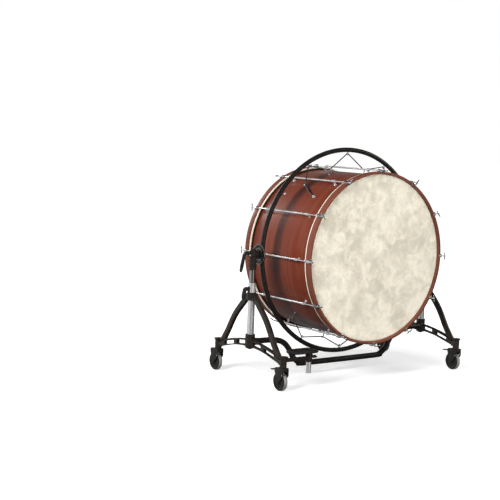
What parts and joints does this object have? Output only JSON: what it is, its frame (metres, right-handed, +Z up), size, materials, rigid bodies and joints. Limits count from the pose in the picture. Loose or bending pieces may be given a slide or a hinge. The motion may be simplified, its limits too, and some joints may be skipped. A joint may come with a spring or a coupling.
{
  "type": "concert bass drum",
  "caption": "Large concert bass drum with wooden shell and mottled heads, hung by cords in a black tilting ring on a wheeled steel stand.",
  "frame": {"origin": "on the floor under the middle of the whole outline, 17 mm behind the middle of the drum because the casters trail", "axes": "+X along the tilt axis towards the right tower, +Y along the drum's axis away from the playing head, +Z up"},
  "size_m": [1.391, 0.704, 1.2608],
  "materials": {
    "black_paint": "black satin powder coat",
    "chrome": "polished chrome",
    "mahogany": "high gloss lacquer over red-brown wood grain",
    "head_film": "mottled fibre-like translucent film",
    "hoop_cream": "cream satin",
    "black_plastic": "moulded black plastic",
    "grey_tyre": "grey non-marking rubber",
    "black_cord": "braided elastic cord"
  },
  "bodies": {
    "stand": {"base_tube": "black_paint", "footrest_bracket": "black_paint", "left_foot": "black_paint", "left_front_leg": "black_paint", "left_rear_leg": "black_paint", "left_column": "chrome", "left_column_clamp": "black_paint", "right_foot": "black_paint", "right_front_leg": "black_paint", "right_rear_leg": "black_paint", "right_column": "chrome", "right_column_clamp": "black_paint"},
    "left_mast": {"left_mast_tube": "chrome", "left_mast_head": "black_paint"},
    "right_mast": {"right_mast_tube": "chrome", "right_mast_head": "black_paint"},
    "drum": {"suspension_ring": "black_paint", "left_pivot_pin": "chrome", "right_pivot_pin": "chrome", "shell": "mahogany", "front_hoop": "mahogany", "rear_hoop": "mahogany", "front_flesh_hoop": "hoop_cream", "rear_flesh_hoop": "hoop_cream", "front_head": "head_film", "rear_head": "head_film", "tension_lug_000": "chrome", "tension_lug_030": "chrome", "tension_lug_060": "chrome", "tension_lug_090": "chrome", "tension_lug_120": "chrome", "tension_lug_150": "chrome", "tension_lug_180": "chrome", "tension_lug_210": "chrome", "tension_lug_240": "chrome", "tension_lug_270": "chrome", "tension_lug_300": "chrome", "tension_lug_330": "chrome", "left_cord_cleat": "black_paint", "right_cord_cleat": "black_paint", "suspension_cord_top": "black_cord", "suspension_cord_bottom": "black_cord"},
    "footrest": {"footrest_post": "chrome", "footrest_plate": "black_plastic"},
    "footrest_knob": {"footrest_wing_knob": "black_plastic"},
    "left_tilt_lever": {"left_tilt_handle": "black_plastic"},
    "left_height_lever": {"left_height_handle": "black_plastic"},
    "left_brake_pedal": {"left_brake_pedal": "black_plastic"},
    "left_front_caster": {"left_front_caster_fork": "black_plastic"},
    "left_front_wheel": {"left_front_caster_wheel": "grey_tyre"},
    "left_rear_caster": {"left_rear_caster_fork": "black_plastic"},
    "left_rear_wheel": {"left_rear_caster_wheel": "grey_tyre"},
    "right_tilt_lever": {"right_tilt_handle": "black_plastic"},
    "right_height_lever": {"right_height_handle": "black_plastic"},
    "right_brake_pedal": {"right_brake_pedal": "black_plastic"},
    "right_front_caster": {"right_front_caster_fork": "black_plastic"},
    "right_front_wheel": {"right_front_caster_wheel": "grey_tyre"},
    "right_rear_caster": {"right_rear_caster_fork": "black_plastic"},
    "right_rear_wheel": {"right_rear_caster_wheel": "grey_tyre"}
  },
  "joints": [
    {"name": "left_height", "type": "slide", "parent": "stand", "child": "left_mast", "axis": [0, 0, 1], "range_m": [0, 0.1]},
    {"name": "right_height", "type": "slide", "parent": "stand", "child": "right_mast", "axis": [0, 0, 1], "range_m": [0, 0.1]},
    {"name": "drum_tilt", "type": "hinge", "parent": "left_mast", "child": "drum", "pos_m": [0, -0.017, 0.683], "axis": [1, 0, 0], "range_deg": [-90, 90]},
    {"name": "left_tilt_lever_turn", "type": "hinge", "parent": "left_mast", "child": "left_tilt_lever", "pos_m": [-0.648, -0.017, 0.692], "axis": [1, 0, 0], "range_deg": [-90, 90]},
    {"name": "left_height_lever_turn", "type": "hinge", "parent": "stand", "child": "left_height_lever", "pos_m": [-0.648, -0.017, 0.5], "axis": [1, 0, 0], "range_deg": [-60, 60]},
    {"name": "left_front_swivel", "type": "hinge", "parent": "stand", "child": "left_front_caster", "pos_m": [-0.626, -0.317, 0.1249], "axis": [0, 0, 1], "continuous": true},
    {"name": "left_front_roll", "type": "hinge", "parent": "left_front_caster", "child": "left_front_wheel", "pos_m": [-0.626, -0.298, 0.05], "axis": [1, 0, 0], "continuous": true},
    {"name": "left_rear_swivel", "type": "hinge", "parent": "stand", "child": "left_rear_caster", "pos_m": [-0.626, 0.283, 0.1249], "axis": [0, 0, 1], "continuous": true},
    {"name": "left_rear_roll", "type": "hinge", "parent": "left_rear_caster", "child": "left_rear_wheel", "pos_m": [-0.626, 0.302, 0.05], "axis": [1, 0, 0], "continuous": true},
    {"name": "left_brake", "type": "hinge", "parent": "left_front_caster", "child": "left_brake_pedal", "pos_m": [-0.626, -0.277, 0.111], "axis": [1, 0, 0], "range_deg": [-6, 0]},
    {"name": "right_tilt_lever_turn", "type": "hinge", "parent": "right_mast", "child": "right_tilt_lever", "pos_m": [0.648, -0.017, 0.692], "axis": [1, 0, 0], "range_deg": [-90, 90]},
    {"name": "right_height_lever_turn", "type": "hinge", "parent": "stand", "child": "right_height_lever", "pos_m": [0.648, -0.017, 0.5], "axis": [1, 0, 0], "range_deg": [-60, 60]},
    {"name": "right_front_swivel", "type": "hinge", "parent": "stand", "child": "right_front_caster", "pos_m": [0.626, -0.317, 0.1249], "axis": [0, 0, 1], "continuous": true},
    {"name": "right_front_roll", "type": "hinge", "parent": "right_front_caster", "child": "right_front_wheel", "pos_m": [0.626, -0.298, 0.05], "axis": [1, 0, 0], "continuous": true},
    {"name": "right_rear_swivel", "type": "hinge", "parent": "stand", "child": "right_rear_caster", "pos_m": [0.626, 0.283, 0.1249], "axis": [0, 0, 1], "continuous": true},
    {"name": "right_rear_roll", "type": "hinge", "parent": "right_rear_caster", "child": "right_rear_wheel", "pos_m": [0.626, 0.302, 0.05], "axis": [1, 0, 0], "continuous": true},
    {"name": "right_brake", "type": "hinge", "parent": "right_front_caster", "child": "right_brake_pedal", "pos_m": [0.626, -0.277, 0.111], "axis": [1, 0, 0], "range_deg": [-6, 0]},
    {"name": "footrest_height", "type": "slide", "parent": "stand", "child": "footrest", "axis": [0, 0, 1], "range_m": [0, 0.05]},
    {"name": "footrest_knob_turn", "type": "hinge", "parent": "stand", "child": "footrest_knob", "pos_m": [-0.45, -0.307, 0.166], "axis": [1, 0, 0], "continuous": true}
  ],
  "couplings": [
    {"joint": "right_height", "follows": "left_height", "ratio": 1}
  ]
}
